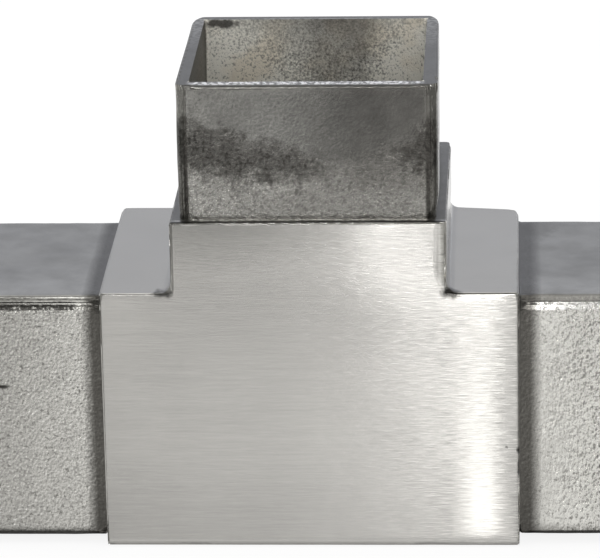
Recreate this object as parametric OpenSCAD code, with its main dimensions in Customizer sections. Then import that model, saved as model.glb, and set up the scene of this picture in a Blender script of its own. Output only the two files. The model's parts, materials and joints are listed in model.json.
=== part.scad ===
/* [Tube] */
// Outside width of the square tube that slides over each spigot
tube_w = 40; // [30:1:60]
// Wall thickness of that tube
tube_wall = 1.2; // [1:0.1:2.5]

/* [Body] */
// Length of each arm of the body, from the crossing to the end of its tube
shoulder = 10.5; // [6:0.5:30]
// Radius that breaks the ground outer edges
edge_r = 0.3; // [0.2:0.1:1]
// Radius of the two inner corners where the branch meets the run
throat_r = 1.4; // [0.8:0.1:4]

/* [Spigots] */
// Length of each spigot beyond its shoulder
spigot_len = 20.3; // [12:0.1:40]
// Clearance on each side between a spigot and the bore of its tube
fit_gap = 0.2; // [0.05:0.05:0.5]
// Wall thickness of the spigots
spigot_wall = 1.8; // [1.4:0.1:3]
// Radius of the long outer corners of the spigots
spigot_r = 1.6; // [1:0.1:3]
// Radius that breaks the open ends of the spigots
rim_r = 0.35; // [0.2:0.05:0.6]
// Radius of the long inner corners left by the core
core_r = 0.6; // [0.3:0.1:1.2]

/* [Hidden] */
$fn = 64;
// A spigot fills the bore of its tube, less the clearance on both sides
spigot_w = tube_w - 2 * tube_wall - 2 * fit_gap;
// The core leaves the same wall on every side of a spigot
core_w = spigot_w - 2 * spigot_wall;
// The run is the crossing with one arm on each side, and the branch stands on its top
run_len = tube_w + 2 * shoulder;
branch_h = tube_w + shoulder;
// The run's centre line lies half a tube above the base
axis_h = tube_w / 2;
// Full reach of the three spigots
reach_x = run_len + 2 * spigot_len;
reach_z = branch_h + spigot_len;
// A cut runs this far past the face that it opens
over = 1;
steel = [0.72, 0.71, 0.69];

// Square outline with round corners, centred
module round_outline(w, h, r) {
    square([w - 2 * r, h], center = true);
    square([w, h - 2 * r], center = true);
    for (x = [-1, 1], y = [-1, 1])
        translate([x * (w / 2 - r), y * (h / 2 - r)])
            circle(r);
}

// Straight bar along Z, centred on all three axes: long_r rounds its long corners,
// end_r the edges of its two ends
module round_bar(w, d, len, long_r, end_r) {
    intersection() {
        linear_extrude(len, center = true)
            round_outline(w, d, long_r);
        rotate([90, 0, 0])
            linear_extrude(d + over, center = true)
                round_outline(w, len, end_r);
        rotate([90, 0, 90])
            linear_extrude(w + over, center = true)
                round_outline(d, len, end_r);
    }
}

// The same bar turned to lie along the run
module run_bar(w, d, len, long_r, end_r) {
    translate([0, 0, axis_h])
        rotate([0, 90, 0])
            round_bar(w, d, len, long_r, end_r);
}

// The same bar standing on the run's centre line, with its upper end at height top
module branch_bar(w, d, top, long_r, end_r) {
    translate([0, 0, (axis_h + top) / 2])
        round_bar(w, d, top - axis_h, long_r, end_r);
}

// Fillet in a corner that runs along Y at [x, z], with the faces of the corner facing
// +X and +Z. Its ends stop short of the faces across the corner
module corner_fillet(x, z, len, r) {
    translate([x, 0, z])
        rotate([90, 0, 0])
            linear_extrude(len, center = true)
                difference() {
                    translate([-edge_r, -edge_r])
                        square(r + edge_r);
                    translate([r, r])
                        circle(r);
                }
}

// Ground body: a square run, a square branch of the same section, and their fillets
module body() {
    run_bar(tube_w, tube_w, run_len, edge_r, edge_r);
    branch_bar(tube_w, tube_w, branch_h, edge_r, edge_r);
    // The fillets leave a small pocket at the front and back end of each corner
    for (side = [0, 1])
        mirror([side, 0, 0])
            corner_fillet(tube_w / 2, tube_w, tube_w - 2 * edge_r, throat_r);
}

// Spigots as cast: one bar right through the run, and one up through the branch
module spigots() {
    run_bar(spigot_w, spigot_w, reach_x, spigot_r, rim_r);
    branch_bar(spigot_w, spigot_w, reach_z, spigot_r, rim_r);
}

// Passage left by the core: right through the run, and up the branch, with the metal
// rounded off where the two meet
module passage() {
    translate([0, 0, axis_h])
        rotate([0, 90, 0])
            linear_extrude(reach_x + 2 * over, center = true)
                round_outline(core_w, core_w, core_r);
    translate([0, 0, axis_h])
        linear_extrude(reach_z - axis_h + over)
            round_outline(core_w, core_w, core_r);
    for (side = [0, 1])
        mirror([side, 0, 0])
            corner_fillet(core_w / 2, axis_h + core_w / 2, core_w - 2 * core_r, throat_r);
}

// One casting
module tee_connector() {
    color(steel)
        difference() {
            union() {
                body();
                spigots();
            }
            passage();
        }
}

tee_connector();
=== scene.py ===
"""Looks and studio for a T connector for square handrail tube, cast in stainless steel.

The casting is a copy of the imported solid. Its faces are divided by straight cuts, and then it
gets what the solid leaves out: hand-ground edges, the swell and pits of cast walls, nicks,
and five finishes.
"""
import json
import math

import bmesh
import bpy
from bpy.props import FloatProperty, FloatVectorProperty, PointerProperty
from mathutils import Matrix, Vector

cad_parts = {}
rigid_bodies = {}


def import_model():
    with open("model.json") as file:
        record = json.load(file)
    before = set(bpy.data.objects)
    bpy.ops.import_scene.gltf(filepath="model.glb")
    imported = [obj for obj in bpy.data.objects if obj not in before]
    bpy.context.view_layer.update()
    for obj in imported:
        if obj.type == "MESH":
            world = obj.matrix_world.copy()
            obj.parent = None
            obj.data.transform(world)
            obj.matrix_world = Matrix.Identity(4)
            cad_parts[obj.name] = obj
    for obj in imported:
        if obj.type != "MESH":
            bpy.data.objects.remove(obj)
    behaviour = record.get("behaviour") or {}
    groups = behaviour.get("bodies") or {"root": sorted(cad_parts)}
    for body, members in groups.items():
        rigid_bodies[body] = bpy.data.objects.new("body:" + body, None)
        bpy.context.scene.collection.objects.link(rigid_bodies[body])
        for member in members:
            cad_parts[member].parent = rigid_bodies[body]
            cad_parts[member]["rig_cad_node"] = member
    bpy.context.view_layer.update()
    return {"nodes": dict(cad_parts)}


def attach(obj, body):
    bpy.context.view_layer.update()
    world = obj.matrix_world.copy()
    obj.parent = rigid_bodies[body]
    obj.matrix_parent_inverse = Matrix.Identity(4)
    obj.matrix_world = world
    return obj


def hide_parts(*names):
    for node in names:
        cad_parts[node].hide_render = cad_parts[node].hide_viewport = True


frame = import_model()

bl_info = {
    "name": "Square tube connector",
    "version": (1, 0, 0),
    "blender": (4, 5, 0),
    "location": "3D View > Sidebar > Connector",
    "description": "Cast T connector for square tube, with its finishes and a plain studio",
    "category": "Object",
}

MM = 0.001
NODE = "tee_connector"
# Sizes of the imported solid, in metres
BODY_X = 0.0305        # half the run's body, shoulder to shoulder
BODY_Y = 0.020         # half its depth
BODY_Z = 0.040         # height of the run's body
BRANCH_Z = 0.0505      # height of the branch's shoulder
SPIGOT = 0.0186        # half the width of a spigot
SPIGOT_ROUND = 0.0016  # radius of a spigot's long edges
CORE = 0.0168          # half the width of the passage
AXIS_Z = 0.020         # height of the run's centre line
REACH_X = 0.0508       # half the length over both spigots
REACH_Z = 0.0708       # height of the upper spigot's end

TOP_FALL = 0.00028     # how far the arms' tops fall to the front
BACK_FALL = 0.00025    # how far the right arm's top also falls to its back corner
CORNER_FALL = 0.00080  # how far the back falls off at its right end
TOUCH = 2e-5           # a face's middle no further than this from a plane lies on it
SLACK = 1e-5           # the same for a single point
ROUND_STEP = 0.00028   # distance between the extra cuts through the spigots' rounds

# Marks and painted shade on the ground front, in millimetres: middle, reach, raggedness,
# softness, and the share of light that they leave. The throat pockets and the branch's soft shade
# are painted shade, the nick and the pit are marks with painted shade, and the scrape is a mark
MARKS_AND_SHADE = (
    ((20.7, -20, 39.7), (1.5, 1.8, 0.75), 0.3, 0.35, 0.12),    # pocket in the right throat
    ((-21.3, -20, 39.8), (1.3, 1.8, 0.55), 0.5, 0.35, 0.18),   # pocket in the left throat
    ((30.4, -20, 15.5), (0.35, 0.8, 0.5), 0.5, 0.35, 0.10),    # nick in the right edge
    ((30.4, -20, 12.3), (0.20, 0.8, 1.3), 0.5, 0.35, 0.35),    # scrape below it
    ((28.6, -20, 15.9), (0.25, 0.8, 0.22), 0.5, 0.35, 0.45),   # pit beside it
    ((-13, -20, 51.5), (13, 3, 4.5), 0.15, 0.9, 0.72),         # soft shade on the branch
)
# Colours of painted highlights
SPARKLE_HIGHLIGHT = (0.98, 0.97, 0.94)       # painted sparkle: facets of the cast skin that catch the light
ROUND_HIGHLIGHT = (0.92, 0.91, 0.88)        # painted highlight on the right spigot's upper rounds
RIM_HIGHLIGHT = (0.99, 0.98, 0.95)     # painted highlight in beads along the upper spigot's front rim
BACK_RIM_HIGHLIGHT = (0.80, 0.79, 0.76)    # and along its back rim
LEDGE_HIGHLIGHT = (0.85, 0.84, 0.80)   # and along the branch's front ledge

# The track of light in front of the part, in millimetres: Y, middle, half width and strength
GLINT = (
    (-21, 25.2, 4.6, 1.0), (-24, 25.2, 4.6, 2.3), (-42, 25.2, 4.6, 2.2), (-59, 24.3, 4.4, 2.1),
    (-74, 22.8, 4.2, 1.9), (-95, 25.8, 4.0, 2.2), (-110, 29.8, 4.2, 2.7), (-122, 30.0, 5.0, 3.1),
    (-130, 27.5, 6.0, 2.9), (-136, 23.0, 3.8, 2.3), (-143, 20.0, 3.0, 2.2), (-157, 15.8, 3.6, 2.6),
    (-170, 13.3, 4.8, 2.7), (-190, 12.6, 4.6, 1.8), (-220, 12.6, 4.6, 1.0))
SIDE_CARD_X = 0.075
DARK = (0.02, 0.02, 0.02)
CAMERA_PLACE = (0.0288, -0.5789, 0.2344)
CAMERA_TURN = (3.07, 18.97, -1.13)   # yaw to the left, pitch down and roll, in degrees

FINISHES = ("ground", "shoulder", "cast", "core", "rim")


# Settings

class CastingSettings(bpy.types.PropertyGroup):
    cell: FloatProperty(
        name="Cell", description="Distance between the cuts that divide the faces",
        default=0.00095, min=0.0005, unit="LENGTH", subtype="DISTANCE", precision=5)
    ground_swell: FloatProperty(
        name="Ground swell", description="How far the hand-ground faces are out of flat",
        default=0.00002, min=0.0, unit="LENGTH", subtype="DISTANCE", precision=5)
    edge_wear: FloatProperty(
        name="Edge wear", description="How unevenly the ground edges are broken",
        default=0.00022, min=0.0, unit="LENGTH", subtype="DISTANCE", precision=5)
    fall_from: FloatProperty(
        name="Fall-off start",
        description="How far from the middle the ground faces start to fall off",
        default=0.0235, min=0.0, unit="LENGTH", subtype="DISTANCE", precision=5)
    fall_depth: FloatProperty(
        name="Fall-off depth", description="How far the ground faces fall off at the run's ends",
        default=0.00010, min=0.0, unit="LENGTH", subtype="DISTANCE", precision=5)
    branch_fall: FloatProperty(
        name="Branch fall-off",
        description="How far the branch's front and back are ground down to its right",
        default=0.00020, min=0.0, unit="LENGTH", subtype="DISTANCE", precision=5)
    base_edge: FloatProperty(
        name="Base edge", description="Radius of the long front and back edges under the body",
        default=0.0012, min=0.0005, unit="LENGTH", subtype="DISTANCE", precision=5)
    spigot_top: FloatProperty(
        name="Spigot's upper edges",
        description="Radius of the side spigots' two upper long edges",
        default=0.0022, min=0.0016, unit="LENGTH", subtype="DISTANCE", precision=5)
    spigot_foot: FloatProperty(
        name="Spigot's lower edges",
        description="Radius of the side spigots' two lower long edges",
        default=0.0009, min=0.0004, unit="LENGTH", subtype="DISTANCE", precision=5)
    cast_swell: FloatProperty(
        name="Cast swell", description="Unevenness of the walls left as cast",
        default=0.00016, min=0.0, unit="LENGTH", subtype="DISTANCE", precision=5)
    rim_drop: FloatProperty(
        name="Rim drop",
        description="How far the upper spigot's front rim falls towards the front",
        default=0.00020, min=0.0, unit="LENGTH", subtype="DISTANCE", precision=5)


class FinishSettings(bpy.types.PropertyGroup):
    ground_colour: FloatVectorProperty(
        name="Ground steel", description="Colour of the satin-ground body",
        subtype="COLOR", size=3, min=0.0, max=1.0, default=(0.46, 0.45, 0.425))
    cast_colour: FloatVectorProperty(
        name="Cast steel", description="Colour of the walls left as cast",
        subtype="COLOR", size=3, min=0.0, max=1.0, default=(0.66, 0.65, 0.61))
    core_colour: FloatVectorProperty(
        name="Cored steel", description="Colour of the passage's walls",
        subtype="COLOR", size=3, min=0.0, max=1.0, default=(0.98, 0.96, 0.88))
    tarnish_colour: FloatVectorProperty(
        name="Tarnish", description="Warm tint on the passage's walls",
        subtype="COLOR", size=3, min=0.0, max=1.0, default=(0.92, 0.86, 0.74))
    # Besides the real scale, this dark colour also paints shade: in the ground front's pockets,
    # nick and pit, on the cast and cored walls and on the branch's ledge
    scale_and_shade_colour: FloatVectorProperty(
        name="Casting scale", description="Colour of the dark scale in the cast walls' hollows",
        subtype="COLOR", size=3, min=0.0, max=1.0, default=(0.10, 0.095, 0.085))
    ground_roughness: FloatProperty(
        name="Ground roughness", description="Roughness of the satin-ground body",
        default=0.205, min=0.0, max=1.0, precision=3)
    cast_roughness: FloatProperty(
        name="Cast roughness", description="Roughness of the walls left as cast",
        default=0.24, min=0.0, max=1.0, precision=3)
    core_roughness: FloatProperty(
        name="Cored roughness", description="Roughness of the passage's walls",
        default=0.58, min=0.0, max=1.0, precision=3)
    cut_roughness: FloatProperty(
        name="Cut roughness", description="Roughness of the shoulders and the spigots' ends",
        default=0.35, min=0.0, max=1.0, precision=3)
    line_pitch: FloatProperty(
        name="Line pitch", description="Distance between the grinding lines",
        default=0.00019, min=0.00005, unit="LENGTH", subtype="DISTANCE", precision=5)


class StudioSettings(bpy.types.PropertyGroup):
    floor_colour: FloatVectorProperty(
        name="Floor", description="Colour of the floor",
        subtype="COLOR", size=3, min=0.0, max=1.0, default=(0.82, 0.82, 0.82))
    overhead: FloatProperty(
        name="Overhead lamp", description="Power of the soft lamp above the part",
        default=1.3, min=0.0, unit="POWER")
    strip_lamp: FloatProperty(
        name="Strip lamp", description="Power of the narrow upright lamp beside the camera",
        default=0.5, min=0.0, unit="POWER")
    front_lamp: FloatProperty(
        name="Front lamp", description="Power of the soft lamp round the camera",
        default=0.8, min=0.0, unit="POWER")
    back_shade: FloatVectorProperty(
        name="Back card",
        description="Shade of the cool grey card behind the part, seen in its tops",
        subtype="COLOR", size=3, min=0.0, max=1.0, default=(0.66, 0.68, 0.74))
    lens: FloatProperty(
        name="Lens",
        description="Focal length of the camera on a 36 mm wide sensor, in millimetres",
        default=245.5, min=50.0)


# Small tools

def deselect_all():
    for ob in bpy.context.view_layer.objects:
        ob.select_set(False)


def take_up(ob):
    """Make this object the only one that operators act on."""
    deselect_all()
    ob.select_set(True)
    bpy.context.view_layer.objects.active = ob


def cut_planes(axis, places):
    """Divide the faces along one axis at each of these places."""
    normal = [0.0, 0.0, 0.0]
    normal[axis] = 1.0
    for place in places:
        point = [0.0, 0.0, 0.0]
        point[axis] = place
        bpy.ops.mesh.select_all(action="SELECT")
        bpy.ops.mesh.bisect(plane_co=point, plane_no=normal)


def ease(value, low, high):
    """0 up to low and 1 from high on, with a soft start and end."""
    share = min(1.0, max(0.0, (value - low) / (high - low)))
    return share * share * (3 - 2 * share)


def spread(low, high, cell, keep_clear):
    """Places from low to high about one cell apart, none within a quarter cell of an edge
    that the solid already has."""
    count = max(1, round((high - low) / cell))
    places = [low + (high - low) * i / count for i in range(1, count)]
    return [p for p in places if all(abs(p - k) > 0.25 * cell for k in keep_clear)]


# The casting

def finish_at(centre, normal):
    """Which finish a face has, from where it lies and where it points."""
    x, y, z = centre
    ax, ay = abs(x), abs(y)
    in_run = ay < CORE + TOUCH and abs(z - AXIS_Z) < CORE + TOUCH
    in_branch = ax < CORE + TOUCH and ay < CORE + TOUCH and z > AXIS_Z
    throat = ay < CORE and ax < CORE + 0.0016 and AXIS_Z < z < AXIS_Z + CORE + 0.0016
    end = ax > REACH_X - TOUCH and abs(normal.x) > 0.9
    if end or z > REACH_Z - 4e-4 and normal.z > 0.5 and max(ax, ay) > CORE:
        return "rim"
    if in_run or in_branch or throat:
        return "core"
    if ax > BODY_X + TOUCH or z > BRANCH_Z + TOUCH:
        return "cast"
    if ax > BODY_X - TOUCH and abs(normal.x) > 0.7 or z > BRANCH_Z - TOUCH and normal.z > 0.7:
        return "shoulder"
    return "ground"


def round_off(co, axes, corner, reach, share=1.0):
    """Pull a point in to the elliptical round of an edge. The two axes lie across the edge, corner
    is where its faces meet, and reach is how far the round runs back along each, signed
    outwards."""
    mid = [c - r for c, r in zip(corner, reach)]
    u, v = [(co[axis] - m) / r for axis, m, r in zip(axes, mid, reach)]
    if u > 0 and v > 0 and u * u + v * v > 1:
        far = math.hypot(u, v)
        for axis, m, r, w in zip(axes, mid, reach, (u, v)):
            co[axis] += share * (m + r * w / far - co[axis])


def sharpen(co, axes, corner, old, new):
    """Move a point on a round of the old radius to the same place on a round of the new one. Corner
    is where the faces meet, and the radii are signed outwards along each axis."""
    arm = [co[axis] - (c - o) for axis, c, o in zip(axes, corner, old)]
    if all(a * o > 0 for a, o in zip(arm, old)) and math.hypot(*arm) > 0.98 * abs(old[0]):
        for axis, c, a, o, n in zip(axes, corner, arm, old, new):
            co[axis] = c - n + a * abs(n / o)


def grind(co, s):
    """What grinding by hand does to the body: it falls off at its ends and has uneven rounds."""
    x, y, z = co
    body = abs(x) <= BODY_X + SLACK and z <= BRANCH_Z + SLACK
    if not body:
        return
    if abs(y) > BODY_Y - 0.0006:
        fall = max(0.0, (abs(x) - s.fall_from) / (BODY_X - s.fall_from)) ** 3
        depth = s.fall_depth if x > 0 else s.fall_depth * 0.45
        depth = depth * fall + s.branch_fall * ease(x, 0.005, 0.023) * ease(z, 0.034, 0.048)
        co.y -= math.copysign(depth, y)
    # The arms' tops fall a little to the front, and the right one also to its back corner
    skin = min(1.0, max(0.0, (z - 0.0386) / 0.0014))
    skin *= (1 - ease(z, 0.0400, 0.0414)) * ease(abs(x), 0.0200, 0.0212)
    end = min(1.0, max(0.0, (x - 0.0210) / 0.0095))
    front, back = 1 - ease(y, -0.020, -0.004), ease(y, 0.0, 0.020)
    co.z -= skin * (TOP_FALL * front + BACK_FALL * end * back)
    if y > SPIGOT and z < 0.0405:
        co.y -= CORNER_FALL * end * (y - SPIGOT) / (BODY_Y - SPIGOT)
    if z > 0.041 and x > SPIGOT:
        out = (0.00012 + 0.00014 * ease(y, -0.010, 0.020)) * (x - SPIGOT) / (BODY_Y - SPIGOT)
        co.x += out * ease(z, 0.041, 0.044)
    if z <= BODY_Z + SLACK:
        back = BODY_Y - CORNER_FALL * end
        round_off(co, (0, 1), (BODY_X, back), (0.0014, 0.0034))
        round_off(co, (0, 1), (-BODY_X, back), (-0.0013, 0.0024))
        round_off(co, (0, 2), (BODY_X, 0.0), (0.0006, -0.0006))
        round_off(co, (0, 2), (-BODY_X, 0.0), (-0.0006, -0.0006))
        front = 1 - ease(y, -0.020, 0.0)
        round_off(co, (0, 2), (BODY_X, BODY_Z - TOP_FALL), (0.0005, 0.0005), front)
        for side in (-1, 1):
            round_off(co, (1, 2), (side * BODY_Y, 0.0), (side * s.base_edge, -s.base_edge))
    else:
        share = ease(z, 0.0405, 0.0430)
        round_off(co, (0, 1), (BODY_Y + 0.00026, BODY_Y), (0.0009, 0.0038), share)
        round_off(co, (0, 1), (-BODY_Y, BODY_Y), (-0.0010, 0.0026), share)
        round_off(co, (0, 1), (BODY_Y + 0.00012, -BODY_Y + 0.0002), (0.0011, -0.0014), share)


def cast_form(co, s):
    """How the spigots as cast differ from the plain bars of the solid."""
    x, y, z = co
    if z > BRANCH_Z + SLACK:
        skin = max(0.0, (abs(x) - CORE) / (SPIGOT - CORE))
        front, along = (0.00032, 0.00010) if x > 0 else (0.00015, 0.0)
        wide = front * (1 - ease(y, -0.018, 0.012)) + along
        co.x += math.copysign(wide * skin * ease(z, BRANCH_Z, BRANCH_Z + 0.004), x)
        share = ease(z, BRANCH_Z, BRANCH_Z + 0.002)
        if max(abs(x), abs(y)) > CORE + SLACK:
            round_off(co, (0, 1), (SPIGOT, SPIGOT), (0.0022, 0.0050), share)
            round_off(co, (0, 1), (-SPIGOT, SPIGOT), (-0.0024, 0.0050), share)
        rim = min(1.0, max(0.0, (-y - CORE) / (SPIGOT - CORE))) * (1 - ease(abs(x), 0.0150, 0.0175))
        co.z -= s.rim_drop * rim * rim * min(1.0, max(0.0, (z - REACH_Z + 0.0012) / 0.0012))
    elif abs(x) > BODY_X + SLACK and max(abs(y), abs(z - AXIS_Z)) > CORE + SLACK:
        top, foot = s.spigot_top, s.spigot_foot
        for side in (-1, 1):
            round_off(co, (1, 2), (side * SPIGOT, AXIS_Z + SPIGOT), (side * top, top))
            sharpen(co, (1, 2), (side * SPIGOT, AXIS_Z - SPIGOT),
                    (side * SPIGOT_ROUND, -SPIGOT_ROUND), (side * foot, -foot))
        co.z -= (0.00022 if x < 0 else 0.00002) * (1 - ease(z, 0.0014, 0.0070))


def weight_group(ob, name, weights):
    group = ob.vertex_groups.new(name=name)
    for index, weight in weights.items():
        if weight > 0.0:
            group.add([index], weight, "REPLACE")
    return group.name


def press_in(ob, name, group, depth, size, level=1.0, detail=3):
    """Uneven the faces of one vertex group with a cloud pattern of this size. At level 1 it only
    presses in."""
    clouds = bpy.data.textures.new(name, "CLOUDS")
    clouds.noise_scale = size
    clouds.noise_depth = detail
    move = ob.modifiers.new(name, "DISPLACE")
    move.texture = clouds
    move.texture_coords = "LOCAL"
    move.direction = "NORMAL"
    move.mid_level = level
    move.strength = depth
    move.vertex_group = group
    take_up(ob)
    bpy.ops.object.modifier_apply(modifier=move.name)


class CONNECTOR_OT_casting(bpy.types.Operator):
    """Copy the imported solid, divide its faces and give it the form of a real casting"""
    bl_idname = "connector.casting"
    bl_label = "Casting"

    def execute(self, context):
        s = context.scene.connector_casting
        take_up(frame["nodes"][NODE])
        bpy.ops.object.duplicate()
        ob = context.object
        ob.name = ob.data.name = "connector_casting"
        del ob["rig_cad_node"]
        ob.data.materials.clear()

        bpy.ops.object.mode_set(mode="EDIT")
        bpy.ops.mesh.select_all(action="SELECT")
        bpy.ops.mesh.remove_doubles(threshold=1e-6)
        bpy.ops.mesh.dissolve_limited(angle_limit=0.002)
        x_edges = [side * x for side in (-1, 1) for x in (CORE, SPIGOT, BODY_Y, BODY_X)]
        z_edges = [AXIS_Z + side * z for side in (-1, 1) for z in (CORE, SPIGOT)]
        z_edges += [BODY_Z, BRANCH_Z]
        y_edges = [side * y for side in (-1, 1) for y in (CORE, SPIGOT)]
        rounds = [SPIGOT - ROUND_STEP * step for step in range(1, 9)]
        both = rounds + [-place for place in rounds]
        outer = both + [side * place for side in (-1, 1) for place in (0.0190, 0.0194)]
        cut_planes(0, spread(-REACH_X, REACH_X, s.cell, x_edges + outer) + outer)
        cut_planes(1, spread(-BODY_Y, BODY_Y, s.cell, y_edges + outer) + outer)
        heights = [AXIS_Z + place for place in both]
        cut_planes(2, spread(0.0, REACH_Z, s.cell, z_edges + heights) + heights)
        bpy.ops.mesh.select_all(action="SELECT")
        bpy.ops.mesh.normals_make_consistent(inside=False)
        bpy.ops.object.mode_set(mode="OBJECT")

        for finish in FINISHES:
            material = bpy.data.materials.get(finish) or bpy.data.materials.new(finish)
            ob.data.materials.append(material)
        mesh = bmesh.new()
        mesh.from_mesh(ob.data)
        mesh.normal_update()
        ground, cast, edges, crisp = {}, {}, {}, {}
        for face in mesh.faces:
            middle = face.calc_center_median()
            finish = finish_at(middle, face.normal)
            face.material_index = FINISHES.index(finish)
            face.smooth = True
            flat = max(abs(part) for part in face.normal) > 0.995
            throat = middle.z > BODY_Z and BODY_Y - SLACK < abs(middle.x) < 0.0216
            fillet = throat and abs(face.normal.y) < 0.3
            for v in face.verts:
                if finish == "ground" and flat:
                    ground[v.index] = 1.0
                if finish == "ground" and not flat and not fillet:
                    edges[v.index] = 1.0
                if finish in ("cast", "core"):
                    cast[v.index] = 1.0
                else:
                    crisp[v.index] = 1.0
        for face in mesh.faces:
            if FINISHES[face.material_index] not in ("cast", "core"):
                for v in face.verts:
                    cast[v.index] = 0.0
        for face in mesh.faces:
            if FINISHES[face.material_index] == "shoulder":
                for v in face.verts:
                    edges.pop(v.index, None)
                    ground.pop(v.index, None)

        for v in mesh.verts:
            grind(v.co, s)
            cast_form(v.co, s)
        mesh.to_mesh(ob.data)
        mesh.free()

        top = weight_group(ob, "ground", ground)
        worn = weight_group(ob, "edges", edges)
        walls = weight_group(ob, "cast", cast)
        flats = weight_group(ob, "crisp", crisp)
        press_in(ob, "ground_swell", top, s.ground_swell, 0.011, detail=2)
        press_in(ob, "edge_wear", worn, s.edge_wear, 0.0035)
        press_in(ob, "cast_swell", walls, s.cast_swell, 0.0045, level=0.9)

        lay_out(ob)
        take_up(ob)
        bpy.ops.object.shade_smooth_by_angle(angle=math.radians(35))
        weigh = ob.modifiers.new("weigh", "WEIGHTED_NORMAL")
        weigh.keep_sharp = True
        weigh.vertex_group = flats
        bpy.ops.object.modifier_apply(modifier=weigh.name)
        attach(ob, "root")
        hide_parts(NODE)
        return {"FINISHED"}


def lean(z):
    """Slope of the grinding lines at this height: level on the run, and falling to the right on
    the branch."""
    return -0.050 * ease(z, 0.036, 0.046) + 0.004 * math.sin(z * 420.0)


def lay_out(ob):
    """A UV map in metres whose U runs along the grinding lines and V across them."""
    uv = ob.data.uv_layers.new(name="lines")
    for face in ob.data.polygons:
        n = face.normal
        big = max(range(3), key=lambda i: abs(n[i]))
        for loop in face.loop_indices:
            x, y, z = ob.data.vertices[ob.data.loops[loop].vertex_index].co
            if big == 1:
                z -= lean(z) * (x - 0.012)
            uv.data[loop].uv = ((x, z), (x, y), (y, z))[(1, 2, 0).index(big)]
    uv.active = True


# Finishes

class Nodes:
    """Short hand for adding and linking shader nodes."""

    def __init__(self, tree):
        self.tree = tree
        tree.nodes.clear()

    def add(self, kind, inputs=None, **settings):
        node = self.tree.nodes.new(kind)
        for name, value in settings.items():
            setattr(node, name, value)
        for name, value in (inputs or {}).items():
            socket = node.inputs[name]
            if isinstance(value, bpy.types.NodeSocket):
                self.tree.links.new(value, socket)
            else:
                socket.default_value = value
        return node

    def split(self, vector):
        return self.add("ShaderNodeSeparateXYZ", {"Vector": vector}).outputs

    def surface(self):
        """The place on the part, that place along each axis, and the skin's normal along each."""
        coords = self.add("ShaderNodeTexCoord").outputs
        return coords["Object"], self.split(coords["Object"]), self.split(coords["Normal"])

    def stretch(self, vector, scale, shift=(0.0, 0.0, 0.0)):
        inputs = {"Vector": vector, "Location": shift, "Scale": scale}
        return self.add("ShaderNodeMapping", inputs).outputs[0]

    def noise(self, vector, scale, detail=2.0, roughness=0.5):
        node = self.add("ShaderNodeTexNoise", {"Vector": vector, "Scale": scale, "Detail": detail,
                                               "Roughness": roughness})
        return node.outputs[0]

    def maths(self, operation, *values):
        """Apply an operation to one value, or to two or more from left to right."""
        total = values[0]
        for value in values[1:] or (0.0,):
            node = self.add("ShaderNodeMath", {0: total, 1: value}, operation=operation)
            total = node.outputs[0]
        return total

    def times(self, *values):
        return self.maths("MULTIPLY", *values)

    def plus(self, *values):
        return self.maths("ADD", *values)

    def minus(self, a, b):
        return self.maths("SUBTRACT", a, b)

    def most(self, *values):
        return self.maths("MAXIMUM", *values)

    def least(self, *values):
        return self.maths("MINIMUM", *values)

    def size(self, value):
        return self.maths("ABSOLUTE", value)

    def vectors(self, operation, *values):
        inputs = dict(enumerate(values))
        return self.add("ShaderNodeVectorMath", inputs, operation=operation).outputs

    def mix(self, factor, a, b):
        return self.add("ShaderNodeMix", {0: factor, 2: a, 3: b}, data_type="FLOAT").outputs[0]

    def blend(self, factor, a, b):
        return self.add("ShaderNodeMix", {0: factor, 6: a, 7: b}, data_type="RGBA").outputs[2]

    def bump(self, height, strength, distance, under=None):
        inputs = {"Height": height, "Strength": strength, "Distance": distance}
        if under is not None:
            inputs["Normal"] = under
        return self.add("ShaderNodeBump", inputs).outputs[0]

    def ramp(self, value, low, high, out_low=0.0, out_high=1.0):
        """Go evenly from out_low at low to out_high at high, and stay level outside them."""
        node = self.add("ShaderNodeMapRange", {"Value": value, "From Min": low, "From Max": high,
                                               "To Min": out_low, "To Max": out_high})
        return node.outputs[0]

    def fall(self, value, low, high):
        """1 up to low and 0 from high on."""
        return self.ramp(value, low, high, 1.0, 0.0)

    def band(self, value, rise, fall):
        """1 from the end of the rise to the start of the fall, 0 outside both."""
        return self.times(self.ramp(value, *rise), self.fall(value, *fall))

    def inverse(self, mask):
        return self.fall(mask, 0.0, 1.0)

    def shade(self, tone, mask, share):
        """Multiply a tone by share where the mask is 1."""
        return self.times(tone, self.ramp(mask, 0.0, 1.0, 1.0, share))

    def patch(self, vector, centre, reach, ragged=0.5, soft=0.35):
        """1 inside a ragged blot round a place on the part, 0 outside it; sizes in millimetres."""
        scale = [1.0 / (r * MM) for r in reach]
        shift = [-c * MM * k for c, k in zip(centre, scale)]
        away = self.vectors("LENGTH", self.stretch(vector, scale, shift))["Value"]
        frayed = self.ramp(self.noise(vector, 700.0, 3.0, 0.6), 0.3, 0.7, -ragged, ragged)
        return self.fall(self.plus(away, frayed), 1.0 - soft, 1.0 + soft)

    def relief(self, vector, scale, detail=2.0, shift=0.13):
        """The light and dark flanks of a bumpy skin, from -1 to 1; shift is in millimetres."""
        bumps = []
        for way in (-0.5, 0.5):
            move = [k * way * shift * MM * part for k, part in zip(scale, (0.7, 0.4, -1.0))]
            bumps.append(self.noise(self.stretch(vector, scale, move), 1.0, detail, 0.55))
        return self.ramp(self.minus(*bumps), -0.25, 0.25, -1.0, 1.0)

    def finish(self, inputs):
        shader = self.add("ShaderNodeBsdfPrincipled", inputs)
        self.add("ShaderNodeOutputMaterial", {"Surface": shader.outputs[0]})


def start_material(name):
    """Nodes of the material of this name, which is made if it isn't there yet."""
    material = bpy.data.materials.get(name) or bpy.data.materials.new(name)
    material.use_nodes = True
    return Nodes(material.node_tree)


def rgba(colour, share=1.0):
    return (colour[0] * share, colour[1] * share, colour[2] * share, 1.0)


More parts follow.
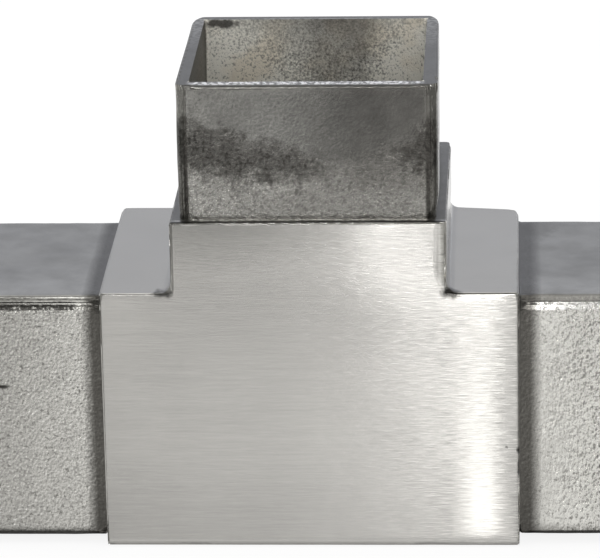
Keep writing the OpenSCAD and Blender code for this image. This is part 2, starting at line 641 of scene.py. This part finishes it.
def ground_steel(s):
    """Satin: fine lines along the run, an upright spread of light, and a soft cloudiness. Painted
    highlight lies along the branch's right edge and in the dashes by the highlight, and painted
    shade in the throats, a nick, a pit and on the branch.
    """
    n = start_material("ground")
    along = n.add("ShaderNodeUVMap", uv_map="lines").outputs[0]
    here, (across, deep_in, height), facing = n.surface()
    fine = n.noise(n.stretch(along, (130.0, 1.0 / s.line_pitch, 1.0)), 1.0, 3.0, 0.6)
    broad = n.noise(n.stretch(along, (25.0, 900.0, 1.0)), 1.0)
    cloud = n.noise(here, 90.0)
    tone = n.plus(n.ramp(fine, 0.25, 0.75, -0.09, 0.09), n.ramp(broad, 0.3, 0.7, -0.025, 0.025))
    tone = n.times(tone, n.ramp(facing[2], 0.5, 0.9, 1.0, 0.25))
    tone = n.plus(tone, n.ramp(cloud, 0.3, 0.7, -0.03, 0.03))
    colour = n.blend(n.ramp(tone, -0.2, 0.2), rgba(s.ground_colour, 0.84),
                     rgba(s.ground_colour, 1.16))

    # A painted highlight along the branch's front right edge
    edge = n.times(n.ramp(across, 0.0187, 0.0192), n.ramp(height, 0.0408, 0.0418),
                   n.ramp(deep_in, -0.0180, -0.0186))
    colour = n.blend(edge, colour, rgba(s.ground_colour, 1.75))

    # Short light and dark dashes of the grinding lines, most of them at the right end, where they
    # are painted highlight and shade that fray the highlight's sides
    dashes = n.noise(n.stretch(along, (380.0, 1.5 / s.line_pitch, 1.0)), 1.0)
    ends = n.times(n.ramp(across, 0.008, 0.020, 0.14, 0.90), n.ramp(facing[2], 0.4, 0.8, 1.0, 0.1))
    light = n.times(n.ramp(dashes, 0.54, 0.68, 0.0, 0.72), ends)
    colour = n.blend(light, colour, rgba(s.ground_colour, 1.45))
    dark = n.times(n.ramp(dashes, 0.32, 0.46, 0.75, 0.0), ends)
    colour = n.blend(dark, colour, rgba(s.ground_colour, 0.70))

    # Painted shade in the throat pockets, in the nick and the pit and on the branch, and the
    # scrape, blended towards the dark colour
    marks_and_shade = 1.0
    for middle, reach, ragged, soft, share in MARKS_AND_SHADE:
        marks_and_shade = n.shade(marks_and_shade, n.patch(here, middle, reach, ragged, soft), share)
    colour = n.blend(marks_and_shade, rgba(s.scale_and_shade_colour, 0.3), colour)

    # The lines themselves, and a sway of the normal that frays the highlight's sides
    short = n.noise(n.stretch(along, (520.0, 1.0 / s.line_pitch, 1.0)), 1.0, 2.0, 0.55)
    normal = n.bump(short, 1.0, 0.000015, n.bump(fine, 0.12, 0.00002))
    sway = n.noise(n.stretch(along, (420.0, 1.3 / s.line_pitch, 1.0)), 1.0, 3.0, 0.6)
    sway = n.times(n.ramp(sway, 0.3, 0.7, -0.5, 0.5), n.ramp(across, 0.010, 0.022, 0.012, 0.052))
    sway = n.add("ShaderNodeCombineXYZ", {"X": sway}).outputs[0]
    normal = n.vectors("NORMALIZE", n.vectors("ADD", normal, sway)[0])[0]
    tangent = n.add("ShaderNodeTangent", direction_type="UV_MAP", uv_map="lines").outputs[0]
    stray = n.add("ShaderNodeCombineXYZ", {"Z": n.ramp(fine, 0.2, 0.8, -0.05, 0.05)}).outputs[0]
    tangent = n.vectors("ADD", tangent, stray)[0]
    n.finish({"Base Color": colour, "Metallic": 1.0, "Roughness": s.ground_roughness,
              "Anisotropic": 1.0, "Anisotropic Rotation": 0.25, "Tangent": tangent,
              "Normal": normal})


def upper_spigot(n, here, place, facing, fine, bend):
    """The upper spigot: smooth matt scale above, granular below a line that dips in the middle,
    with painted shade at its foot and on its rounds, and a painted dark line and highlight at the
    rim's brink. Gives its tone, where its darkest scale lies and where it is granular."""
    across, height = place[0], place[2]
    wavy = n.plus(height, n.ramp(n.noise(here, 420.0, 3.0, 0.6), 0.3, 0.7, -0.0016, 0.0016))
    climb = n.times(n.most(n.minus(across, 0.0095), 0.0), 0.75)
    line = n.most(n.plus(n.times(across, -0.28), 0.0603), n.plus(climb, 0.0590))
    above = n.minus(wavy, line)
    rough = n.fall(above, -0.0014, 0.0010)
    foot = n.fall(height, BRANCH_Z + 0.0030, BRANCH_Z + 0.0070)
    plain = n.least(n.ramp(across, -0.016, -0.007, 0.50, 0.68),
                    n.ramp(across, -0.004, 0.0075, 0.68, 0.19))
    tone = n.mix(foot, plain, n.ramp(across, -0.013, -0.001, 0.38, 0.25))
    # Darker in a band just below the line, most in the middle
    dark_band = n.times(n.ramp(height, 0.0532, 0.0565), n.fall(above, 0.0, 0.0015))
    share = n.most(n.ramp(across, -0.0175, -0.0135, 0.95, 0.60),
                   n.ramp(across, 0.0015, 0.0045, 0.60, 0.84))
    tone = n.shade(tone, dark_band, share)
    pits = n.ramp(n.noise(here, 1800.0, 2.5, 0.6), 0.34, 0.52)
    pitted = n.times(n.ramp(pits, 0.0, 1.0, 0.45, 1.12), n.ramp(fine, -1.0, 1.0, 0.62, 1.38))
    tone = n.times(tone, n.mix(rough, n.ramp(fine, -1.0, 1.0, 0.60, 1.40), pitted))

    # Dark scale just below the line and round the right corner
    low = n.plus(n.most(n.times(n.plus(across, 0.010), -0.35), 0.0), 0.0562)
    smudge = n.times(n.ramp(n.minus(wavy, low), -0.0012, 0.0016), rough,
                     n.ramp(across, -0.002, 0.005, 1.0, 0.22))
    smudge = n.most(smudge, n.times(rough, n.patch(here, (16.5, -18.6, 61.5), (3.5, 3.0, 3.5))))
    tone = n.shade(tone, smudge, 0.35)
    tone = n.times(tone, n.ramp(n.noise(here, 500.0, 3.0, 0.6), 0.3, 0.7, 0.92, 1.08))

    # A seam beside each round; painted shade at the foot, on the rounds low down and where each
    # round begins; and at the brink of the rim a painted dark line and a painted highlight
    seam = n.times(n.fall(n.size(n.minus(n.size(across), 0.01745)), 0.00015, 0.00045), rough)
    tone = n.shade(tone, seam, 0.02)
    tone = n.shade(tone, n.fall(height, BRANCH_Z + 0.0004, BRANCH_Z + 0.0009), 0.25)
    tone = n.shade(tone, n.times(bend, n.fall(height, 0.0550, 0.0620)), 0.5)
    brink = n.ramp(height, REACH_Z - 0.0009, REACH_Z - 0.0006)
    tone = n.shade(tone, n.times(n.band(facing[2], (0.02, 0.05), (0.13, 0.18)), brink), 0.15)
    tone = n.shade(tone, n.times(n.ramp(facing[2], 0.16, 0.22), brink), 4.0)
    tone = n.shade(tone, n.band(n.size(facing[0]), (0.03, 0.06), (0.18, 0.25)), 0.30)
    grain = n.times(pits, n.ramp(fine, -1.0, 1.0, 0.4, 1.2))
    scale = n.times(n.most(n.times(smudge, 0.95), seam), n.ramp(grain, 0.0, 1.0, 1.0, 0.40))
    return tone, scale, rough


def cast_steel(s):
    """As cast: a pebbled skin with scale in its hollows. The left spigot has a fine grain and the
    right one coarse upright worms. Beside the shoulders of the run the skin is painted dark as
    painted shade, and painted light and shade also lie on the side spigots' tops, lower edges and
    upper rounds, with painted sparkle highlights on the skin."""
    n = start_material("cast")
    here, place, facing = n.surface()
    across, deep_in, height = place
    upper = n.ramp(height, BRANCH_Z - 0.0002, BRANCH_Z + 0.0002)
    lower = n.inverse(upper)
    right = n.ramp(across, 0.025, 0.031)
    up = n.ramp(facing[2], 0.55, 0.95)
    flat = n.most(n.size(facing[0]), n.size(facing[1]), n.size(facing[2]))
    patches = n.noise(here, 160.0, 3.0, 0.55)
    fine = n.relief(here, (2500.0, 2500.0, 2300.0), 4.0)
    worms = n.relief(here, (2050.0, 2050.0, 1350.0), 4.0, 0.17)
    pebbles = n.noise(here, 2300.0, 3.0, 0.6)

    # The side spigots' grain, patches, tops and lower edges. Their tops are painted darker, and
    # lighter towards the front, as painted shade and light; their lower edges get painted shade,
    # and the right one's top a painted shade beside the shoulder
    coarse = n.ramp(n.plus(across, n.ramp(patches, 0.3, 0.7, -0.0025, 0.0025)), 0.0335, 0.0400)
    grain = n.mix(right, n.times(fine, 0.65), n.times(worms, n.ramp(coarse, 0.0, 1.0, 0.20, 1.15)))
    ends = n.most(n.ramp(height, 0.0050, 0.0120, 1.16, 1.0),
                  n.ramp(height, 0.0270, 0.0345, 1.0, 1.16))
    tone = n.times(n.mix(right, 0.75, 0.81), n.plus(grain, 1.0),
                   n.mix(right, n.ramp(height, 0.0060, 0.0340, 0.96, 1.09), ends),
                   n.ramp(pebbles, 0.31, 0.43, n.mix(right, 0.2, 0.45), 1.03),
                   n.ramp(patches, 0.3, 0.62, 0.94, 1.03),
                   n.ramp(across, -0.047, -0.034, 0.76, 1.04),
                   n.ramp(across, 0.0335, 0.0400, 0.86, 1.0))
    tops = n.times(n.ramp(patches, 0.32, 0.62, 0.25, 0.40), n.mix(right, 1.0, 0.94))
    tone = n.mix(up, tone, tops)
    tone = n.shade(tone, n.times(up, n.ramp(deep_in, -0.006, -0.016)), 1.5)
    foot_shade = n.times(n.fall(height, 0.0019, n.mix(right, 0.0030, 0.0034)), lower)
    tone = n.shade(tone, foot_shade, n.mix(right, 0.70, 0.32))
    # Painted shade on the right spigot's top, in the corner beside the shoulder
    tone = n.shade(tone, n.patch(here, (33.0, 13.0, 38.6), (2.4, 5.0, 2.0)), 0.65)

    # Their upper rounds: painted shade on the left one and a painted highlight on the right one,
    # with painted light and shade in bands along both crests
    brow = n.times(n.ramp(n.size(facing[1]), 0.12, 0.22), n.ramp(height, 0.030, 0.034), lower)
    belly = n.times(n.band(facing[2], (0.10, 0.20), (0.64, 0.74)), brow)
    crest = n.times(n.band(facing[2], (0.62, 0.70), (0.972, 0.988)), brow)
    crown = n.most(n.ramp(facing[2], 0.84, 0.885, 1.8, 0.20),
                   n.ramp(facing[2], 0.925, 0.960, 0.20, 0.95))
    crown = n.mix(right, crown, n.ramp(facing[2], 0.70, 0.90, 0.22, 0.36))
    tone = n.shade(tone, crest, n.times(crown, n.ramp(fine, -1.0, 1.0, 0.75, 1.25)))
    painted_shade = n.times(belly, n.inverse(right), n.fall(across, -0.0348, -0.0338),
                     n.ramp(pebbles, 0.54, 0.66, 0.92, 0.25))
    round_highlight = n.times(belly, right, n.ramp(pebbles, 0.36, 0.50, 0.1, 0.75),
                     n.ramp(facing[2], 0.56, 0.64, 1.0, 0.15))

    # Painted shade: the dark strip beside the run's shoulders, and a pit in the left spigot's front
    # whose shade is painted
    set_back = n.minus(n.size(across), n.ramp(across, 0.02, 0.03, 0.0, 0.0003))
    root = n.times(n.fall(set_back, BODY_X + 0.0013, BODY_X + 0.0030), lower)
    tone = n.shade(tone, root, n.ramp(fine, -1.0, 1.0, 0.0, 0.10))
    pit = n.patch(here, (-46.1, -18.6, 24.9), (1.7, 1.0, 0.30), ragged=0.25)
    painted_shade = n.most(painted_shade, pit, n.times(root, n.ramp(fine, -1.0, 1.0, 0.75, 0.0)))

    # Paint, from the scale colour to bright, then the upper spigot's scale and the painted shade,
    # the painted sparkle highlights and the painted highlight on the right spigot's rounds
    upper_tone, scale, rough = upper_spigot(n, here, place, facing, fine, n.fall(flat, 0.90, 0.985))
    paint = n.blend(n.mix(upper, tone, upper_tone), rgba(s.scale_and_shade_colour), rgba(s.cast_colour))
    paint = n.blend(n.most(n.times(upper, scale), painted_shade), paint, rgba(s.scale_and_shade_colour, 0.40))
    # Painted sparkle highlights on the side spigots' skin
    sparkle_highlight = n.times(n.ramp(n.mix(right, fine, worms), 0.72, 1.0), n.ramp(pebbles, 0.46, 0.56),
                      lower, n.mix(right, 0.8, coarse), n.fall(root, 0.0, 0.5),
                      n.fall(up, 0.0, 0.5))
    paint = n.blend(sparkle_highlight, paint, rgba(SPARKLE_HIGHLIGHT))
    paint = n.blend(n.times(round_highlight, n.fall(root, 0.0, 0.6)), paint, rgba(ROUND_HIGHLIGHT))

    # Bumps, shallow on the rounds, the tops, the strips, the feet and the smooth skin
    depth = n.ramp(flat, 0.86, 0.985, n.mix(upper, 0.10, 0.03), 1.0)
    shallow = ((n.times(upper, n.inverse(rough)), 0.08), (up, 0.08), (root, 0.2),
               (n.times(right, n.inverse(coarse)), 0.25), (n.fall(height, 0.0030, 0.0060), 0.3))
    for mask, share in shallow:
        depth = n.shade(depth, mask, share)
    reach = n.mix(right, n.mix(upper, 0.00010, 0.00012), 0.00006)
    normal = n.bump(n.mix(right, pebbles, worms), depth, reach)
    n.finish({"Base Color": paint, "Metallic": 1.0, "Roughness": s.cast_roughness,
              "Normal": normal})


def cored_steel(s):
    """The passage: a fine, rough skin with a warm tarnish, brighter towards the mouth's corners.
    Painted light makes it brighter some way down, and painted shade darkens its side walls.
    """
    n = start_material("core")
    here, place, facing = n.surface()
    across, height = place[0], place[2]
    grain = n.noise(here, 3000.0, 3.0, 0.65)
    patches = n.noise(here, 240.0, 3.0, 0.6)
    warm = n.noise(here, 130.0)
    wander = n.plus(across, n.ramp(patches, 0.3, 0.7, -0.0012, 0.0012))
    span = n.most(n.ramp(wander, -0.0130, 0.0008, 0.92, 0.31),
                  n.ramp(wander, 0.0065, 0.0150, 0.31, 1.08))
    # Painted light: brighter some way down the passage, where less light reaches
    painted_light_depth = n.least(n.ramp(height, 0.0540, 0.0580, 0.85, 2.20),
                   n.ramp(height, 0.0620, 0.0700, 2.20, 1.05))
    hollows = n.ramp(height, 0.0640, 0.0700, 0.16, 0.42)
    tone = n.times(n.ramp(grain, 0.32, 0.64, hollows, 1.12), span,
                   n.ramp(patches, 0.3, 0.65, 0.88, 1.0), painted_light_depth)
    tone = n.shade(tone, n.patch(here, (-14.2, 16.8, 70.2), (2.6, 5, 0.6)), 0.1)
    # Painted shade on the side walls
    tone = n.shade(tone, n.ramp(n.size(facing[0]), 0.6, 0.9), 0.11)
    bright = n.blend(n.ramp(warm, 0.45, 0.62), rgba(s.core_colour), rgba(s.tarnish_colour))
    paint = n.blend(tone, rgba(s.scale_and_shade_colour, 0.6), bright)
    normal = n.bump(grain, 0.8, 0.00010)
    n.finish({"Base Color": paint, "Metallic": 0.6, "Roughness": s.core_roughness,
              "Normal": normal})


def milled_steel(s, name, share):
    """Cut metal: even and darker, with faint tool lines, and painted highlights as bright beads
    along some front and back edges, and painted shade on the branch's ledge."""
    n = start_material(name)
    here, place, _ = n.surface()
    across, deep_in, height = place
    lines = n.noise(here, 2500.0)
    cloud = n.noise(here, 300.0)
    tone = n.plus(n.ramp(lines, 0.3, 0.7, 0.0, 0.5), n.ramp(cloud, 0.3, 0.7, 0.0, 0.5))
    colour = n.blend(tone, rgba(s.ground_colour, share * 0.8), rgba(s.ground_colour, share * 1.2))
    front = n.times(deep_in, -1.0)
    beads = n.ramp(n.noise(here, 1500.0, 2.0, 0.6), 0.42, 0.58, 0.15, 1.0)
    if name == "rim":
        # Painted highlights: beads along the front rim's brink, and fainter ones along the back rim
        top = n.ramp(height, REACH_Z - 0.0012, REACH_Z - 0.0008)
        lit = n.band(front, (CORE - 0.0001, CORE + 0.0001), (CORE + 0.0010, CORE + 0.0014))
        lit = n.times(lit, top, n.fall(n.size(across), 0.0160, 0.0172), beads)
        colour = n.blend(lit, colour, rgba(RIM_HIGHLIGHT))
        back = n.band(front, (-CORE - 0.0009, -CORE - 0.0002), (-CORE, 0.0))
        back = n.times(back, top, n.ramp(beads, 0.0, 1.0, 0.0, 0.35))
        colour = n.blend(back, colour, rgba(BACK_RIM_HIGHLIGHT))
    else:
        # Painted shade on the ledge's outer part, and a painted highlight in beads along it next to
        # the spigot
        ledge = n.ramp(height, BRANCH_Z - 0.0004, BRANCH_Z - 0.0002)
        dark = n.times(ledge, n.ramp(front, SPIGOT + 0.0003, SPIGOT + 0.0005))
        colour = n.blend(dark, colour, rgba(s.scale_and_shade_colour, 0.5))
        near = n.ramp(front, SPIGOT - 0.0001, SPIGOT + 0.0001)
        near = n.times(near, n.inverse(dark), ledge, beads)
        colour = n.blend(near, colour, rgba(LEDGE_HIGHLIGHT))
    normal = n.bump(lines, 0.25, 0.00003)
    n.finish({"Base Color": colour, "Metallic": 1.0, "Roughness": s.cut_roughness,
              "Normal": normal})


class CONNECTOR_OT_finishes(bpy.types.Operator):
    """Make the finishes: satin-ground, cast, cored, milled and cut steel"""
    bl_idname = "connector.finishes"
    bl_label = "Finishes"

    def execute(self, context):
        s = context.scene.connector_finishes
        ground_steel(s)
        cast_steel(s)
        cored_steel(s)
        milled_steel(s, "shoulder", 0.34)
        milled_steel(s, "rim", 0.32)
        return {"FINISHED"}


# Studio

def seen_as_white(n):
    """1 for rays that show the background: from the camera, or by way of metal or glass."""
    path = n.add("ShaderNodeLightPath").outputs
    return n.most(path["Is Camera Ray"], path["Is Glossy Ray"], path["Is Transmission Ray"])


def add_lamp(name, place, aim, width, height, power):
    bpy.ops.object.light_add(type="AREA", location=place)
    lamp = bpy.context.object
    lamp.name = name
    lamp.data.shape = "RECTANGLE"
    lamp.data.size = width
    lamp.data.size_y = height
    lamp.data.energy = power
    lamp.rotation_euler = (Vector(aim) - Vector(place)).to_track_quat("-Z", "Y").to_euler()


def add_card(name, corners, shade):
    """A plain card beside the part, seen only in the metal."""
    bpy.ops.mesh.primitive_plane_add(size=1.0)
    card = bpy.context.object
    card.name = name
    for v, corner in zip(card.data.vertices, corners):
        v.co = corner
    light_up(card, shade)


def upright_card(name, x0, y0, x1, y1, height, shade):
    add_card(name, [(x, y, z) for z in (0.0, height) for x, y in ((x0, y0), (x1, y1))], shade)


def light_up(card, shade, attribute=None):
    """Give a card its light, as strong as an attribute of its points says if one is named, and
    leave it to be seen only in the metal."""
    n = start_material(card.name)
    level = 1.0
    if attribute:
        level = n.add("ShaderNodeAttribute", attribute_name=attribute).outputs["Fac"]
    glow = n.add("ShaderNodeEmission", {"Color": (*shade, 1.0), "Strength": level}).outputs[0]
    n.add("ShaderNodeOutputMaterial", {"Surface": glow})
    card.data.materials.append(bpy.data.materials[card.name])
    card.visible_camera = False
    card.visible_shadow = False
    card.visible_diffuse = False


def add_glint(stations):
    """A bright track on the floor in front of the part, seen in the ground face as its highlight.
    Each station gives its distance along Y, its middle, half its width and its strength."""
    rows = len(stations) - 1
    bpy.ops.mesh.primitive_grid_add(x_subdivisions=12, y_subdivisions=rows, size=1.0)
    track = bpy.context.object
    track.name = "glint_card"
    light = track.data.attributes.new("light", "FLOAT", "POINT")
    for v in track.data.vertices:
        place, middle, half, strength = stations[round((v.co.y + 0.5) * rows)]
        side = 2 * v.co.x
        light.data[v.index].value = 1.0 + (strength - 1.0) * (1 - ease(abs(side), 0.05, 1.0))
        v.co = ((middle + side * half) * MM, place * MM, 1.2 * MM)
    light_up(track, (1.0, 1.0, 1.0), "light")


class CONNECTOR_OT_studio(bpy.types.Operator):
    """Add the floor, the backdrop, the lamps and the camera"""
    bl_idname = "connector.studio"
    bl_label = "Studio"

    def execute(self, context):
        s = context.scene.connector_studio
        deselect_all()
        bpy.ops.mesh.primitive_plane_add(size=6.0, location=(0.0, 0.0, -0.00005))
        floor = context.object
        floor.name = "floor"
        n = start_material("floor")
        lit = n.add("ShaderNodeBsdfDiffuse", {"Color": rgba(s.floor_colour)}).outputs[0]
        dim = n.add("ShaderNodeBsdfDiffuse", {"Color": rgba(s.floor_colour, 0.22)}).outputs[0]
        glow = n.add("ShaderNodeEmission", {"Color": (1, 1, 1, 1), "Strength": 0.86}).outputs[0]
        white = n.add("ShaderNodeAddShader", {0: dim, 1: glow}).outputs[0]
        mix = n.add("ShaderNodeMixShader", {0: seen_as_white(n), 1: lit, 2: white}).outputs[0]
        n.add("ShaderNodeOutputMaterial", {"Surface": mix})
        floor.data.materials.append(bpy.data.materials["floor"])

        world = context.scene.world or bpy.data.worlds.new("studio")
        context.scene.world = world
        world.use_nodes = True
        n = Nodes(world.node_tree)
        soft = n.add("ShaderNodeBackground", {"Color": (1, 1, 1, 1), "Strength": 0.75}).outputs[0]
        white = n.add("ShaderNodeBackground", {"Color": (1, 1, 1, 1), "Strength": 1.0}).outputs[0]
        mix = n.add("ShaderNodeMixShader", {0: seen_as_white(n), 1: soft, 2: white}).outputs[0]
        n.add("ShaderNodeOutputWorld", {"Surface": mix})

        add_lamp("overhead_lamp", (0.0, 0.05, 0.9), (0, 0, 0.03), 0.8, 0.6, s.overhead)
        add_lamp("strip_lamp", (0.0186, -0.64, 0.205), (0.0186, 0, 0.205), 0.005, 0.40,
                 s.strip_lamp)
        add_lamp("front_lamp", (0.030, -0.68, 0.26), (0.030, 0, 0.03), 0.24, 0.48, s.front_lamp)
        for side in (-1, 1):
            x = side * SIDE_CARD_X
            upright_card("side_card", x, -0.5, x, 0.03, 0.3, (0.40, 0.40, 0.39))
            # A grey card on the floor under each spigot, seen only in the metal: a painted shadow
            # of the floor under the spigots' lower edges
            corners = [(side * x, y, 0.0003) for y in (-0.0222, 0.02) for x in (0.0312, 0.06)]
            add_card("foot_shadow_card", corners, (0.12, 0.12, 0.12))
        upright_card("front_card", -0.9, -0.95, 0.9, -0.95, 2.2, DARK)
        upright_card("back_card", -0.7, 0.9, 0.7, 0.9, 0.9, s.back_shade)
        add_card("floor_card", [(-0.12, -0.95, 0.001), (0.04, -0.95, 0.001),
                                (-0.036, -0.16, 0.001), (0.029, -0.16, 0.001)], DARK)
        # A card under the body's front edge and a paler one just in front of the body, seen only in
        # the metal: painted shadow of the floor by the part
        corners = [(x, y, 0.0002) for y in (-0.0206, -0.012) for x in (-0.0306, 0.0306)]
        add_card("base_shadow_card", corners, (0.66, 0.66, 0.66))
        corners = [(x, y, 0.0008) for y in (-0.046, -0.0206) for x in (-0.034, 0.034)]
        add_card("near_shadow_card", corners, (0.80, 0.80, 0.80))
        add_glint(GLINT)

        bpy.ops.object.camera_add()
        camera = context.object
        camera.data.sensor_fit = "HORIZONTAL"
        camera.data.sensor_width = 36.0
        camera.data.lens = s.lens
        camera.data.clip_start = 0.01
        yaw, pitch, roll = (math.radians(angle) for angle in CAMERA_TURN)
        ahead = Vector((-math.sin(yaw) * math.cos(pitch), math.cos(yaw) * math.cos(pitch),
                        -math.sin(pitch)))
        right = Vector((math.cos(yaw), math.sin(yaw), 0.0))
        up = right.cross(ahead)
        across = math.cos(roll) * right + math.sin(roll) * up
        upward = -math.sin(roll) * right + math.cos(roll) * up
        turn = Matrix((across, upward, -ahead)).transposed().to_4x4()
        camera.matrix_world = Matrix.Translation(CAMERA_PLACE) @ turn
        context.scene.camera = camera
        context.scene.view_settings.view_transform = "Standard"
        return {"FINISHED"}


# Panel and run

class CONNECTOR_PT_panel(bpy.types.Panel):
    """Sizes, finishes and studio of the square tube connector"""
    bl_label = "Square tube connector"
    bl_idname = "CONNECTOR_PT_panel"
    bl_space_type = "VIEW_3D"
    bl_region_type = "UI"
    bl_category = "Connector"

    def draw(self, context):
        scene = context.scene
        for operator, group in (("connector.casting", scene.connector_casting),
                                ("connector.finishes", scene.connector_finishes),
                                ("connector.studio", scene.connector_studio)):
            box = self.layout.box()
            for name in group.bl_rna.properties.keys():
                if name not in ("rna_type", "name"):
                    box.prop(group, name)
            box.operator(operator)


SETTINGS = (("connector_casting", CastingSettings), ("connector_finishes", FinishSettings),
            ("connector_studio", StudioSettings))
OPERATORS = (CONNECTOR_OT_casting, CONNECTOR_OT_finishes, CONNECTOR_OT_studio)


def register():
    for name, group in SETTINGS:
        bpy.utils.register_class(group)
        setattr(bpy.types.Scene, name, PointerProperty(type=group))
    for item in OPERATORS + (CONNECTOR_PT_panel,):
        bpy.utils.register_class(item)


def unregister():
    for item in reversed(OPERATORS + (CONNECTOR_PT_panel,)):
        bpy.utils.unregister_class(item)
    for name, group in reversed(SETTINGS):
        delattr(bpy.types.Scene, name)
        bpy.utils.unregister_class(group)


def main():
    register()
    bpy.ops.connector.finishes()
    bpy.ops.connector.casting()
    bpy.ops.connector.studio()


if __name__ == "__main__":
    main()
